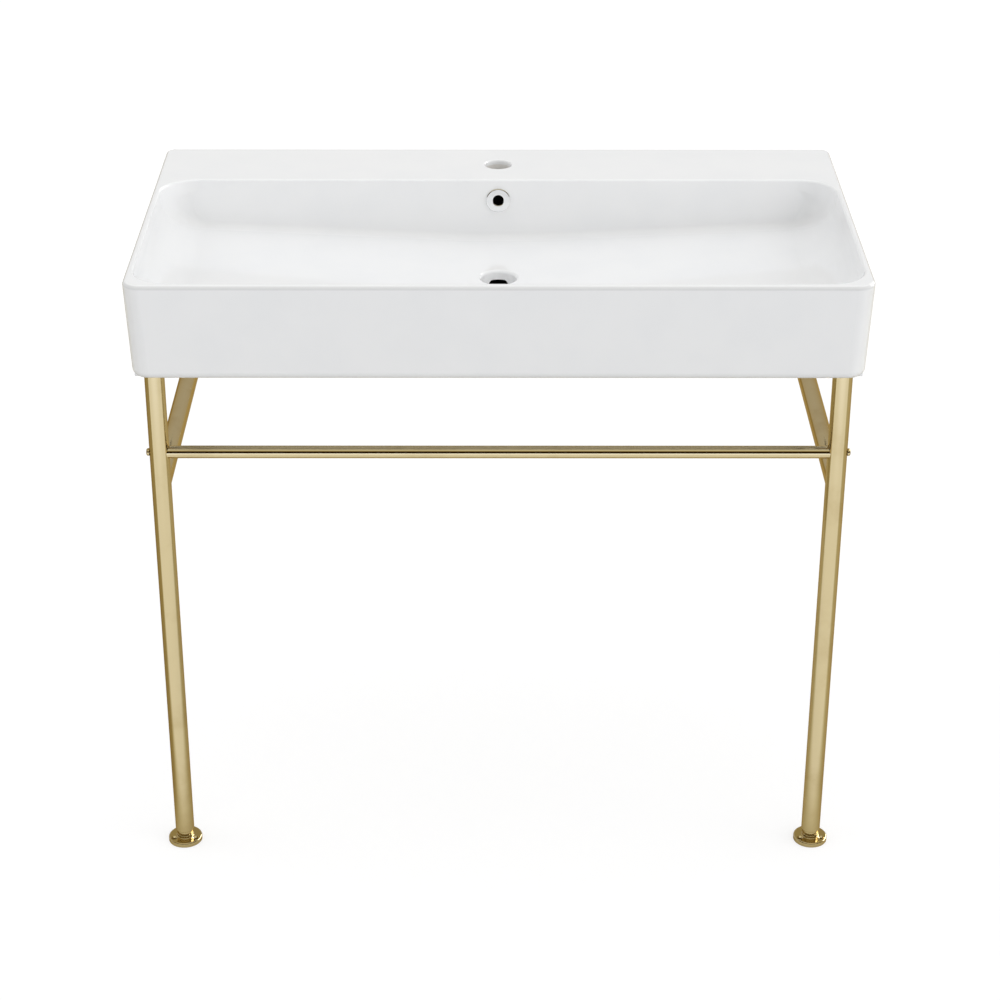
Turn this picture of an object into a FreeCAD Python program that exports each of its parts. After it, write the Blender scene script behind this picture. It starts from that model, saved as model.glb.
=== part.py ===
import FreeCAD, Part
import math
import os
from FreeCAD import Vector, Placement, Rotation
import Sketcher

# Console sink: a one-piece glazed ceramic basin on a tubular brass frame with two front legs.
# Millimetres. +Z is up, +X is to the right, +Y points at the wall. The origin is on the floor,
# under the middle of the object's box, so the wall is the plane Y = basin_depth / 2.

DIMENSIONS = (
    # the basin's outside
    ("rim_height", 840.0, "floor to the basin's rim"),
    ("basin_width", 900.0, "overall width"),
    ("basin_depth", 490.0, "wall to the front face"),
    ("basin_height", 124.0, "height of the apron"),
    ("side_taper", 5.0, "each side face leans in by this much at its foot"),
    ("front_taper", 4.0, "the front face leans in by this much at its foot"),
    ("front_corner", 22.0, "plan radius of the front corners"),
    ("rear_corner", 12.0, "plan radius of the rear corners"),
    ("top_edge", 5.0, "radius of the outer top edge"),
    ("bottom_edge", 10.0, "radius of the outer bottom edge"),
    # the bowl
    ("side_rim", 8.5, "rim beside the bowl"),
    ("front_rim", 11.0, "rim in front of the bowl"),
    ("deck_depth", 123.0, "flat deck behind the bowl"),
    ("bowl_lean", 6.0, "front and rear bowl walls lean in by this much at the floor"),
    ("bowl_end_lean", 9.0, "each bowl end leans in by this much at the floor"),
    ("bowl_end_drop", 62.0, "rim to the floor at the bowl's ends"),
    ("bowl_mid_drop", 80.0, "rim to the floor round the drain"),
    ("bowl_mid_half", 90.0, "half width of the curve that levels the floor round the drain"),
    ("end_sweep", 56.0, "radius that turns each end into the floor"),
    ("floor_round", 11.0, "radius between the floor and the long walls"),
    ("corner_round", 46.0, "plan radius of the bowl's corners at the rim"),
    ("rim_round", 3.0, "radius of the bowl's top edge"),
    # the basin's underside
    ("apron_wall", 15.0, "thickness of the apron"),
    ("shell_wall", 13.0, "thickness of the ceramic under the bowl and deck"),
    ("seat_width", 42.0, "width of the ceramic seat over each leg"),
    ("seat_length", 54.0, "length of that seat, front to back"),
    ("seat_shift", 5.0, "that seat's middle is this much further in than its leg"),
    ("seat_socket_d", 27.0, "bore of the socket for a leg's top"),
    ("seat_socket_depth", 4.0, "depth of that socket"),
    # holes in the basin
    ("tap_hole_d", 35.0, "tap hole"),
    ("tap_hole_back", 62.0, "wall to the tap hole's centre"),
    ("tap_hole_lip", 2.5, "rounded lip of the tap hole"),
    ("drain_hole_d", 46.0, "drain hole"),
    ("drain_hole_back", 265.0, "wall to the drain hole's centre"),
    ("drain_hole_lip", 3.5, "rounded lip of the drain hole"),
    ("drain_boss_d", 82.0, "boss round the drain hole"),
    ("drain_boss_rise", 4.0, "apron's foot to the underside of that boss"),
    ("ceiling_haunch", 6.0, "the underside's ceiling rises by this much at each end"),
    ("overflow_hole_d", 26.0, "overflow hole"),
    ("overflow_drop", 27.5, "rim to the overflow hole's centre"),
    ("duct_gap", 12.0, "inside depth of the overflow duct"),
    ("duct_width", 34.0, "inside width of the upright duct"),
    ("port_width", 24.0, "width of the overflow port in the drain hole"),
    ("port_drop", 92.5, "rim to the top of that port"),
    ("port_round", 5.0, "radius of that port's corners"),
    ("duct_wall", 8.0, "ceramic round the duct"),
    ("wall_bolt_d", 14.0, "hole for a wall hanger bolt"),
    ("wall_bolt_spacing", 280.0, "between the two wall bolt holes"),
    ("wall_bolt_drop", 50.0, "rim to the wall bolt holes"),
    # the frame
    ("tube_d", 25.0, "leg and side rail tube"),
    ("tube_wall", 1.5, "wall of every tube"),
    ("leg_spacing", 852.0, "between the two leg axes"),
    ("leg_setback", 68.0, "front face to the leg axes"),
    ("bar_d", 16.0, "towel bar tube"),
    ("bar_height", 588.0, "floor to the towel bar's axis"),
    ("rail_height", 545.0, "floor to the side rails' axes"),
    ("leg_end_round", 0.7, "rounded lower edge of a leg tube"),
    ("press_gap", 0.02, "radial clearance of a plug pressed into a tube"),
    ("plug_bevel", 1.0, "bevel at the end of a plug or stud"),
    # leg tops
    ("cap_head", 2.5, "thickness of a leg cap's head"),
    ("cap_plug", 14.0, "length of its plug"),
    ("pad_thickness", 2.5, "rubber pad between a leg and the basin"),
    ("pad_d", 24.0, "diameter of that pad"),
    # levelling feet
    ("flange_d", 45.0, "floor and wall flanges"),
    ("flange_thickness", 6.5, "thickness of a flange"),
    ("flange_edge", 2.0, "rounded edge of a flange"),
    ("flange_hub_d", 22.0, "raised hub of a floor flange"),
    ("flange_hub_rise", 4.0, "height of that hub"),
    ("hub_edge", 0.8, "rounded top edge of that hub"),
    ("hub_root", 1.2, "round between that hub and the flange"),
    ("screw_circle_d", 33.0, "pitch circle of a flange's screw holes"),
    ("screw_hole_d", 4.5, "flange screw hole"),
    ("screw_sink_d", 8.4, "countersink of that hole"),
    ("collar_d", 21.6, "levelling collar"),
    ("collar_height", 6.6, "height of that collar"),
    ("collar_bevel", 0.7, "bevelled edges of that collar"),
    ("stud_d", 10.0, "levelling stud"),
    ("stud_rise", 34.0, "stud above the collar"),
    ("stud_head_d", 16.0, "head of the stud under the flange"),
    ("stud_head_height", 2.6, "height of that head"),
    ("head_gap", 0.6, "play round that head in the flange's recess"),
    ("flange_grip", 6.7, "flange metal between the head's recess and the hub's top"),
    ("insert_length", 20.0, "threaded insert in a leg's lower end"),
    ("insert_setback", 0.5, "leg's lower end to that insert"),
    ("thrust_gap", 0.3, "play above and below the turning collar and head"),
    ("running_gap", 0.06, "radial clearance round the stud"),
    # towel bar fixings
    ("bar_insert_length", 26.0, "threaded plug in each end of the towel bar"),
    ("bar_insert_gap", 0.3, "that plug's outer end to the leg"),
    ("cross_hole_d", 5.2, "hole across a leg for the bar screw"),
    ("bar_screw_d", 5.0, "bar screw"),
    ("bar_screw_length", 44.0, "bar screw below its head"),
    ("bar_screw_head_d", 9.6, "head of the bar screw"),
    ("bar_screw_head_height", 3.8, "height of that head"),
    ("bar_screw_dome", 2.28, "radius of that head's rounded edge"),
    ("screw_gap", 0.05, "radial clearance round a small screw"),
    ("recess_arm", 2.6, "middle to the end of each arm of its cross recess"),
    ("recess_width", 1.1, "width of that recess"),
    ("recess_depth", 1.6, "depth of that recess"),
    # wall ends of the side rails
    ("spigot_length", 18.0, "wall flange's spigot inside the rail"),
    ("set_screw_d", 5.0, "set screw under the rail's wall end"),
    ("set_screw_length", 6.0, "length of that screw"),
    ("hex_corner", 1.44, "middle to a corner of its hexagon socket"),
    ("set_screw_sink", 0.2, "that screw's outer end lies this deep in the rail"),
    ("spigot_wall", 5.0, "wall of that spigot"),
    ("spigot_gap", 0.03, "radial clearance round that spigot"),
    ("rail_ear_gap", 2.0, "a rail's coped ears end this far behind the leg's axis"),
    # overflow trim
    ("ring_d", 32.0, "overflow ring"),
    ("ring_bore_d", 14.0, "opening of that ring"),
    ("ring_face", 2.2, "thickness of the ring's face"),
    ("ring_edge", 1.6, "rounded outer edge of that face"),
    ("ring_lip", 1.1, "rounded edge of the ring's opening"),
    ("ring_stub_d", 20.0, "stub behind the ring's face"),
    ("ring_stub_length", 10.0, "length of that stub"),
    ("sleeve_wall", 2.2, "wall of the soft sleeve round the stub"),
    ("sleeve_inset", 1.0, "stub's end to the sleeve's end"),
    ("sleeve_gap", 0.5, "back of the ring's face to the sleeve"),
)

document = FreeCAD.newDocument("console_sink")
sheet = document.addObject("Spreadsheet::Sheet", "Dimensions")
for row, (alias, value, meaning) in enumerate(DIMENSIONS, start=1):
    sheet.set(f"A{row}", meaning)
    sheet.set(f"B{row}", str(value))
    sheet.setAlias(f"B{row}", alias)
document.recompute()


class Size:
    """A length that knows its number and the sheet expression which gives it."""

    def __init__(self, number, text):
        self.number = float(number)
        self.text = text

    def __add__(self, other):
        other = as_size(other)
        return Size(self.number + other.number, f"({self.text} + {other.text})")

    def __sub__(self, other):
        other = as_size(other)
        return Size(self.number - other.number, f"({self.text} - {other.text})")

    def __mul__(self, factor):
        factor = as_size(factor)
        return Size(self.number * factor.number, f"({self.text} * {factor.text})")

    def __truediv__(self, factor):
        factor = as_size(factor)
        return Size(self.number / factor.number, f"({self.text} / {factor.text})")

    def __neg__(self):
        return Size(-self.number, f"(0 - {self.text})")


def as_size(value):
    """A plain number becomes a Size whose expression is that number."""
    if isinstance(value, Size):
        return value
    return Size(value, f"{value}" if value >= 0 else f"(0 - {-value})")


def cell(alias):
    """The driving dimension kept in the sheet under this alias."""
    return Size(sheet.get(alias), f"Dimensions.{alias}")


ZERO = as_size(0)
PAST = as_size(5)  # a cut starts or ends this far outside the ceramic
SUNK = as_size(2)  # a pad starts this far inside what it joins
FAR = as_size(20)  # the bowl's former starts this far outside its leaning walls
ON_SLOPE = 0.5  # a hole's edge on the bowl's sloping floor lies within this much of level


# ---- helpers for sketches and features -------------------------------------------------------

def new_body(label):
    body = document.addObject("PartDesign::Body", label)
    body.Label = label
    return body


def new_sketch(body, name, role, offset=ZERO):
    """A sketch on one of the body's own origin planes, moved along that plane's normal."""
    sketch = body.newObject("Sketcher::SketchObject", name)
    plane = next(item for item in body.Origin.OriginFeatures if item.Role == role)
    sketch.AttachmentSupport = [(plane, "")]
    sketch.MapMode = "FlatFace"
    sketch.setExpression("AttachmentOffset.Base.z", offset.text)
    return sketch


def hold_point(sketch, geometry, corner, point):
    """Ties one end of a sketch line, or a circle's centre, to its place."""
    for direction, axis, value in (("X", -2, point[0]), ("Y", -1, point[1])):
        if value.number == 0:
            sketch.addConstraint(Sketcher.Constraint("PointOnObject", geometry, corner, axis))
            continue
        kind = "Distance" + direction
        constraint = Sketcher.Constraint(kind, -1, 1, geometry, corner, value.number)
        index = sketch.addConstraint(constraint)
        sketch.setExpression(f"Constraints[{index}]", value.text)


def draw_outline(sketch, points, arcs=None):
    """A closed outline through the given points, with straight lines between them.

    arcs maps a line's number to a radius: that stretch is an arc that curves to the right.
    """
    arcs = arcs or {}
    first = sketch.GeometryCount
    points = [(as_size(x), as_size(y)) for x, y in points]
    flat = [Vector(x.number, y.number, 0) for x, y in points]
    count = len(points)
    for index in range(count):
        start, end = flat[index], flat[(index + 1) % count]
        if index not in arcs:
            sketch.addGeometry(Part.LineSegment(start, end), False)
            continue
        radius = arcs[index].number
        half = (end - start) / 2
        upward = Vector(-half.y, half.x, 0).normalize()
        centre = start + half + upward * (radius ** 2 - half.Length ** 2) ** 0.5
        through = centre - upward * radius
        sketch.addGeometry(Part.Arc(start, through, end), False)
    for index in range(count):
        following = first + (index + 1) % count
        sketch.addConstraint(Sketcher.Constraint("Coincident", first + index, 2, following, 1))
    for index, point in enumerate(points):
        hold_point(sketch, first + index, 1, point)
    for number, radius in arcs.items():
        constraint = Sketcher.Constraint("Radius", first + number, radius.number)
        index = sketch.addConstraint(constraint)
        sketch.setExpression(f"Constraints[{index}]", radius.text)


def draw_rectangle(sketch, low_x, high_x, low_y, high_y):
    draw_outline(sketch, ((low_x, low_y), (high_x, low_y), (high_x, high_y), (low_x, high_y)))


def draw_circles(sketch, diameter, centres):
    for x, y in centres:
        x, y = as_size(x), as_size(y)
        middle = Vector(x.number, y.number, 0)
        circle = Part.Circle(middle, Vector(0, 0, 1), diameter.number / 2)
        geometry = sketch.addGeometry(circle, False)
        hold_point(sketch, geometry, 3, (x, y))
        constraint = Sketcher.Constraint("Diameter", geometry, diameter.number)
        index = sketch.addConstraint(constraint)
        sketch.setExpression(f"Constraints[{index}]", diameter.text)


def sweep_sketch(body, kind, sketch, length, symmetric=False, reverse=False):
    """Pads or pockets a sketch, and stops the build if the solid doesn't change."""
    before = body.Shape.Volume if body.Tip else 0.0
    feature = body.newObject("PartDesign::" + kind, sketch.Name + "_" + kind.lower())
    feature.Profile = sketch
    feature.setExpression("Length", as_size(length).text)
    feature.SideType = "Symmetric" if symmetric else "One side"
    feature.Reversed = reverse
    document.recompute()
    change = body.Shape.Volume - before
    if (change <= 0) if kind == "Pad" else (change >= 0):
        raise RuntimeError(f"{feature.Name} changes nothing")
    return feature


def drill(body, name, role, offset, diameter, centres, depth, symmetric=False, reverse=False):
    """Round holes of one size, square to one of the body's own planes."""
    sketch = new_sketch(body, name, role, as_size(offset))
    draw_circles(sketch, diameter, centres)
    return sweep_sketch(body, "Pocket", sketch, depth, symmetric, reverse)


def round_edges(body, name, radius, wanted, kind="Fillet"):
    """Rounds or chamfers every edge of the body's tip for which wanted(edge) is true."""
    tip = body.Tip
    names = [
        f"Edge{index}"
        for index, edge in enumerate(tip.Shape.Edges, start=1)
        if wanted(edge)
    ]
    if not names:
        raise RuntimeError(f"{name} finds no edge")
    feature = body.newObject("PartDesign::" + kind, name)
    feature.Base = (tip, names)
    property_name = "Radius" if kind == "Fillet" else "Size"
    feature.setExpression(property_name, as_size(radius).text)
    document.recompute()
    if "Invalid" in feature.State:
        raise RuntimeError(f"{name} fails")
    return feature


def turned_body(label, outline):
    """A solid of revolution about Z, from a closed outline of (radius, height) points."""
    body = new_body(label)
    sketch = new_sketch(body, label + "_outline", "XZ_Plane")
    draw_outline(sketch, outline)
    turning = body.newObject("PartDesign::Revolution", label + "_turning")
    turning.Profile = sketch
    turning.ReferenceAxis = (sketch, ["V_Axis"])
    turning.Angle = 360
    document.recompute()
    return body


def place(item, x=ZERO, y=ZERO, z=ZERO, turn=None):
    """Moves a finished piece to its place, with its position bound to the sheet."""
    item.Placement = Placement(Vector(0, 0, 0), turn or Rotation())
    for axis, value in (("x", x), ("y", y), ("z", z)):
        item.setExpression("Placement.Base." + axis, as_size(value).text)


def close_to(value, size, tolerance=0.02):
    return abs(value - as_size(size).number) < tolerance


def is_ring_at(edge, radius, height):
    """True for a round edge of this radius about Z at this height."""
    curve = edge.Curve
    if curve.TypeId != "Part::GeomCircle" or not close_to(curve.Radius, radius):
        return False
    return close_to(curve.Center.z, height) and close_to(abs(curve.Axis.z), 1)


finished = []


def keep(item, label):
    """Names a finished sub-part and lists it for export."""
    item.Label = label
    finished.append(item)


# ---- the basin -------------------------------------------------------------------------------

half_width = cell("basin_width") / 2
half_depth = cell("basin_depth") / 2
rim_z = cell("rim_height")
foot_z = rim_z - cell("basin_height")
leg_x = cell("leg_spacing") / 2
leg_y = cell("leg_setback") - half_depth
drain_y = half_depth - cell("drain_hole_back")
tap_y = half_depth - cell("tap_hole_back")
overflow_z = rim_z - cell("overflow_drop")
bowl_rear_y = half_depth - cell("deck_depth")
bowl_front_y = cell("front_rim") - half_depth
duct_front_y = bowl_rear_y + cell("shell_wall")
duct_back_y = duct_front_y + cell("duct_gap")
port_top_z = rim_z - cell("port_drop")
port_foot_z = port_top_z - cell("duct_gap")
SIDES = (("left", -1), ("right", 1))


def basin_block():
    """The outside of the basin: a block that narrows to its foot, its corners rounded in plan."""
    body = new_body("basin_block")
    foot_half = half_width - cell("side_taper")
    front_view = new_sketch(body, "front_view", "XZ_Plane")
    draw_outline(front_view, (
        (-foot_half, foot_z), (foot_half, foot_z), (half_width, rim_z), (-half_width, rim_z)))
    sweep_sketch(body, "Pad", front_view, cell("basin_depth"), symmetric=True)
    taper = cell("front_taper")
    spare = taper * PAST / cell("basin_height")
    front_y = -half_depth
    wedge = new_sketch(body, "front_lean", "YZ_Plane")
    draw_outline(wedge, (
        (front_y - PAST, foot_z - PAST), (front_y + taper + spare, foot_z - PAST),
        (front_y - spare, rim_z + PAST), (front_y - PAST, rim_z + PAST)))
    sweep_sketch(body, "Pocket", wedge, cell("basin_width") * 2, symmetric=True)

    def is_corner(edge, front):
        box = edge.BoundBox
        upright = close_to(box.ZLength, cell("basin_height"))
        return upright and (box.Center.y < 0) == front

    round_edges(body, "front_corners", cell("front_corner"), lambda edge: is_corner(edge, True))
    round_edges(body, "rear_corners", cell("rear_corner"), lambda edge: is_corner(edge, False))
    round_edges(
        body, "foot_edge", cell("bottom_edge"),
        lambda edge: close_to(edge.BoundBox.ZMin, foot_z) and close_to(edge.BoundBox.ZMax, foot_z),
    )
    return body


def hollow_underside(body):
    """Hollows the block from below, and leaves the seats, the drain boss and the duct's walls."""
    wall = cell("apron_wall")
    shell = cell("shell_wall")
    inner_x = half_width - cell("side_taper") - wall
    front_y = cell("front_taper") + wall - half_depth
    back_y = half_depth - wall
    end_ceiling = rim_z - cell("bowl_end_drop") - shell
    middle_ceiling = rim_z - cell("bowl_mid_drop") - shell
    below = foot_z - PAST

    # under the bowl: a ceiling that follows the bowl's sloping floor
    section = new_sketch(body, "underside_section", "XZ_Plane", -(front_y + back_y) / 2)
    sweep_end = inner_x - cell("end_sweep") / 2
    middle = cell("bowl_mid_half") / 2
    edge_ceiling = end_ceiling + cell("ceiling_haunch")
    draw_outline(section, (
        (-inner_x, below), (inner_x, below), (inner_x, edge_ceiling), (sweep_end, end_ceiling),
        (middle, middle_ceiling), (-middle, middle_ceiling), (-sweep_end, end_ceiling),
        (-inner_x, edge_ceiling),
    ))
    sweep_sketch(body, "Pocket", section, back_y - front_y, symmetric=True)

    # under the deck: up to the shell below the taps
    deck = new_sketch(body, "deck_underside", "XY_Plane", below)
    draw_rectangle(deck, -inner_x, inner_x, duct_front_y, back_y)
    sweep_sketch(body, "Pocket", deck, rim_z - shell - below, reverse=True)

    # a solid seat over each leg
    seat_half = cell("seat_width") / 2
    seats = new_sketch(body, "leg_seats", "XY_Plane", foot_z)
    for side in (-1, 1):
        outer = (leg_x - cell("seat_shift") + seat_half) * side
        inner = (leg_x - cell("seat_shift") - seat_half) * side
        low, high = (inner, outer) if side > 0 else (outer, inner)
        rear = leg_y + cell("seat_length") / 2
        draw_rectangle(seats, low, high, front_y - SUNK, rear)
    sweep_sketch(body, "Pad", seats, edge_ceiling + SUNK - foot_z)

    # the boss round the drain and the walls of the overflow duct
    boss_foot = foot_z + cell("drain_boss_rise")
    boss = new_sketch(body, "drain_boss", "XY_Plane", boss_foot)
    draw_circles(boss, cell("drain_boss_d"), ((0, drain_y),))
    sweep_sketch(body, "Pad", boss, middle_ceiling + SUNK - boss_foot)
    duct_wall = cell("duct_wall")
    duct_foot = port_foot_z - duct_wall
    spine_half = cell("port_width") / 2 + duct_wall
    spine = new_sketch(body, "duct_spine", "XY_Plane", duct_foot)
    draw_rectangle(spine, -spine_half, spine_half, drain_y, duct_front_y + SUNK)
    sweep_sketch(body, "Pad", spine, middle_ceiling + SUNK - duct_foot)
    upright_half = cell("duct_width") / 2 + duct_wall
    upright = new_sketch(body, "duct_upright", "XY_Plane", duct_foot)
    draw_rectangle(
        upright, -upright_half, upright_half, bowl_rear_y - SUNK, duct_back_y + duct_wall)
    sweep_sketch(body, "Pad", upright, rim_z - shell + SUNK - duct_foot)


def drill_basin(body):
    """The overflow duct and every hole through the ceramic."""
    duct_half = cell("duct_width") / 2
    duct_top = overflow_z + cell("overflow_hole_d") / 2
    upright = new_sketch(body, "duct_bore", "XY_Plane", port_foot_z)
    draw_rectangle(upright, -duct_half, duct_half, duct_front_y, duct_back_y)
    sweep_sketch(body, "Pocket", upright, duct_top - port_foot_z, reverse=True)
    port_half = cell("port_width") / 2
    port_round = cell("port_round")
    flat_half = port_half - port_round
    low_z = port_foot_z + port_round
    high_z = port_top_z - port_round
    port = new_sketch(body, "overflow_port", "XZ_Plane", -duct_back_y)
    draw_outline(port, (
        (-flat_half, port_foot_z), (flat_half, port_foot_z), (port_half, low_z),
        (port_half, high_z), (flat_half, port_top_z), (-flat_half, port_top_z),
        (-port_half, high_z), (-port_half, low_z),
    ), arcs={1: port_round, 3: port_round, 5: port_round, 7: port_round})
    sweep_sketch(body, "Pocket", port, duct_back_y - drain_y, reverse=True)
    drill(
        body, "overflow_hole", "XZ_Plane", -duct_back_y, cell("overflow_hole_d"),
        ((0, overflow_z),), duct_back_y - bowl_rear_y + cell("bowl_lean") + PAST, reverse=True)
    drill(
        body, "drain_hole", "XY_Plane", foot_z, cell("drain_hole_d"),
        ((0, drain_y),), cell("basin_height") - cell("bowl_mid_drop") + PAST, reverse=True)
    drill(
        body, "tap_hole", "XY_Plane", rim_z + PAST, cell("tap_hole_d"),
        ((0, tap_y),), cell("shell_wall") + PAST * 2)
    bolt_z = rim_z - cell("wall_bolt_drop")
    bolt_x = cell("wall_bolt_spacing") / 2
    drill(
        body, "wall_bolt_holes", "XZ_Plane", -(half_depth + PAST), cell("wall_bolt_d"),
        ((-bolt_x, bolt_z), (bolt_x, bolt_z)), cell("apron_wall") + PAST * 2, reverse=True)
    drill(
        body, "leg_sockets", "XY_Plane", foot_z, cell("seat_socket_d"),
        ((-leg_x, leg_y), (leg_x, leg_y)), cell("seat_socket_depth"), reverse=True)


def bowl_former():
    """The bowl's hollow as a solid: a swept floor between two leaning walls."""
    body = new_body("bowl_former")
    end_drop = cell("bowl_end_drop")
    end_x = half_width - cell("side_rim")
    end_foot_x = end_x - cell("bowl_end_lean")
    end_top_x = end_x + cell("bowl_end_lean") * PAST / end_drop
    end_z = rim_z - end_drop
    middle_z = rim_z - cell("bowl_mid_drop")
    mid_y = (bowl_front_y + bowl_rear_y) / 2
    bend_x = cell("bowl_mid_half")
    slope = (end_z - middle_z) / (end_foot_x - bend_x / 2)
    sag = bend_x * slope / 2
    bend_radius = (bend_x * bend_x + sag * sag) / (sag * 2)
    section = new_sketch(body, "bowl_section", "XZ_Plane", -mid_y)
    draw_outline(section, (
        (-end_top_x, rim_z + PAST), (-end_foot_x, end_z), (-bend_x, middle_z + sag),
        (bend_x, middle_z + sag), (end_foot_x, end_z), (end_top_x, rim_z + PAST),
    ), arcs={2: bend_radius})
    sweep_sketch(body, "Pad", section, bowl_rear_y - bowl_front_y + FAR, symmetric=True)

    def runs_along_y(edge, x, z):
        middle = edge.BoundBox.Center
        at_place = close_to(abs(middle.x), x) and close_to(middle.z, z)
        return at_place and edge.BoundBox.YLength > bowl_rear_y.number - bowl_front_y.number

    round_edges(
        body, "end_sweeps", cell("end_sweep"), lambda edge: runs_along_y(edge, end_foot_x, end_z))

    # each long wall leans in: what lies beyond it is cut off
    drop = cell("bowl_mid_drop")
    lean = cell("bowl_lean")
    spare = lean * PAST / drop
    for name, wall_y, way in (("rear", bowl_rear_y, 1), ("front", bowl_front_y, -1)):
        cut = new_sketch(body, name + "_wall", "YZ_Plane")
        top_y = wall_y + spare * way
        foot_y = wall_y - (lean + spare) * way
        beyond_y = wall_y + FAR * way
        draw_outline(cut, (
            (top_y, rim_z + PAST), (beyond_y, rim_z + PAST),
            (beyond_y, rim_z - drop - PAST), (foot_y, rim_z - drop - PAST),
        ))
        sweep_sketch(body, "Pocket", cut, cell("basin_width") * 2, symmetric=True)
    return body


def round_former(body):
    """Rounds the former's long bottom edges: tight along the floor, wide up the corners."""
    floor_round = cell("floor_round").number
    corner_round = cell("corner_round").number
    sweep_x = (half_width - cell("side_rim") - cell("end_sweep") / 2).number
    top_z = rim_z + PAST
    across = (bowl_rear_y - bowl_front_y - cell("bowl_lean") * 2 - PAST).number
    radii = []
    for index, edge in enumerate(body.Shape.Edges, start=1):
        box = edge.BoundBox
        if box.YLength > across or (close_to(box.ZMin, top_z) and close_to(box.ZMax, top_z)):
            continue
        pair = []
        for corner in (edge.Vertexes[0], edge.Vertexes[-1]):
            pair.append(corner_round if abs(corner.X) > sweep_x else floor_round)
        radii.append((index, *pair))
    rounded = document.addObject("Part::Fillet", "bowl_former_rounded")
    rounded.Base = body
    rounded.Edges = radii
    document.recompute()
    return rounded


def basin():
    """The block less the bowl, with the glazed edges rounded."""
    block = basin_block()
    hollow_underside(block)
    drill_basin(block)
    former = round_former(bowl_former())
    cut = document.addObject("Part::Cut", "basin_cut")
    cut.Base = block
    cut.Tool = former
    document.recompute()
    radii = []
    for index, edge in enumerate(cut.Shape.Edges, start=1):
        radius = basin_edge_radius(edge)
        if radius:
            radii.append((index, radius.number, radius.number))
    rounded = document.addObject("Part::Fillet", "basin")
    rounded.Base = cut
    rounded.Edges = radii
    document.recompute()
    keep(rounded, "basin")


def basin_edge_radius(edge):
    """The rounding of one edge of the cut block, or None where it stays sharp."""
    box = edge.BoundBox
    middle = box.Center
    tap_half = cell("tap_hole_d") / 2
    drain_half = cell("drain_hole_d") / 2
    if close_to(box.ZMin, rim_z) and close_to(box.ZMax, rim_z):
        reach = max(abs(box.XMin), abs(box.XMax))
        if close_to(middle.y, tap_y) and close_to(box.YLength / 2, tap_half):
            return cell("tap_hole_lip")
        outer_x = reach > (half_width - cell("side_rim") / 2).number
        outer_y = max(abs(box.YMin), abs(box.YMax)) > (half_depth - cell("front_rim") / 2).number
        return cell("top_edge") if outer_x or outer_y else cell("rim_round")
    same_place = close_to(middle.y, drain_y, ON_SLOPE)
    same_size = close_to(box.YLength / 2, drain_half, ON_SLOPE)
    if same_place and same_size and box.ZMin > (rim_z - cell("bowl_mid_drop") - SUNK).number:
        return cell("drain_hole_lip")
    return None


def overflow_trim():
    """The overflow ring and the soft sleeve that holds its stub, square to the bowl's rear wall."""
    bore = cell("ring_bore_d") / 2
    edge = cell("ring_d") / 2
    stub = cell("ring_stub_d") / 2
    face = cell("ring_face")
    behind = -cell("ring_stub_length")
    ring = turned_body("overflow_ring", (
        (bore, behind), (stub, behind), (stub, 0), (edge, 0), (edge, face), (bore, face)))
    round_edges(ring, "ring_edge", cell("ring_edge"), lambda item: is_ring_at(item, edge, face))
    round_edges(ring, "ring_lip", cell("ring_lip"), lambda item: is_ring_at(item, bore, face))
    sleeve_bore = stub + cell("running_gap")
    sleeve_edge = stub + cell("sleeve_wall")
    sleeve_foot = behind + cell("sleeve_inset")
    sleeve_top = -cell("sleeve_gap")
    sleeve = turned_body("overflow_sleeve", (
        (sleeve_bore, sleeve_foot), (sleeve_edge, sleeve_foot),
        (sleeve_edge, sleeve_top), (sleeve_bore, sleeve_top)))
    slope = cell("bowl_lean").number / cell("bowl_mid_drop").number
    turn = Rotation(Vector(1, 0, 0), 90 - math.degrees(math.atan(slope)))
    wall_y = bowl_rear_y - cell("bowl_lean") * cell("overflow_drop") / cell("bowl_mid_drop")
    for piece in (ring, sleeve):
        place(piece, 0, wall_y, overflow_z, turn)
        keep(piece, piece.Label)


# ---- the frame's tubes -----------------------------------------------------------------------

tube_r = cell("tube_d") / 2
tube_bore_r = tube_r - cell("tube_wall")
bar_z = cell("bar_height")
rail_z = cell("rail_height")
pad_top_z = foot_z + cell("seat_socket_depth")
leg_top_z = pad_top_z - cell("pad_thickness") - cell("cap_head")
hub_top_z = cell("flange_thickness") + cell("flange_hub_rise")
collar_foot_z = hub_top_z + cell("thrust_gap")
collar_top_z = collar_foot_z + cell("collar_height")
leg_foot_z = collar_top_z + cell("thrust_gap")
rail_end_y = half_depth - cell("flange_thickness")


def tube(label, role, start, length, diameter, wall):
    """A round tube along the normal of one of the body's own planes."""
    body = new_body(label)
    sketch = new_sketch(body, label + "_section", role, as_size(start))
    draw_circles(sketch, diameter, ((0, 0),))
    draw_circles(sketch, diameter - wall * 2, ((0, 0),))
    sweep_sketch(body, "Pad", sketch, length)
    return body


def leg(side, way):
    """A front leg, with the cross hole of the towel bar's screw."""
    height = leg_top_z - leg_foot_z
    body = tube(f"leg_{side}", "XY_Plane", 0, height, cell("tube_d"), cell("tube_wall"))
    drill(
        body, f"leg_{side}_cross_hole", "YZ_Plane", 0, cell("cross_hole_d"),
        ((0, bar_z - leg_foot_z),), cell("tube_d") * 2, symmetric=True)
    round_edges(
        body, f"leg_{side}_foot", cell("leg_end_round"), lambda edge: is_ring_at(edge, tube_r, 0))
    place(body, leg_x * way, leg_y, leg_foot_z)
    keep(body, f"leg_{side}")


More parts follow.
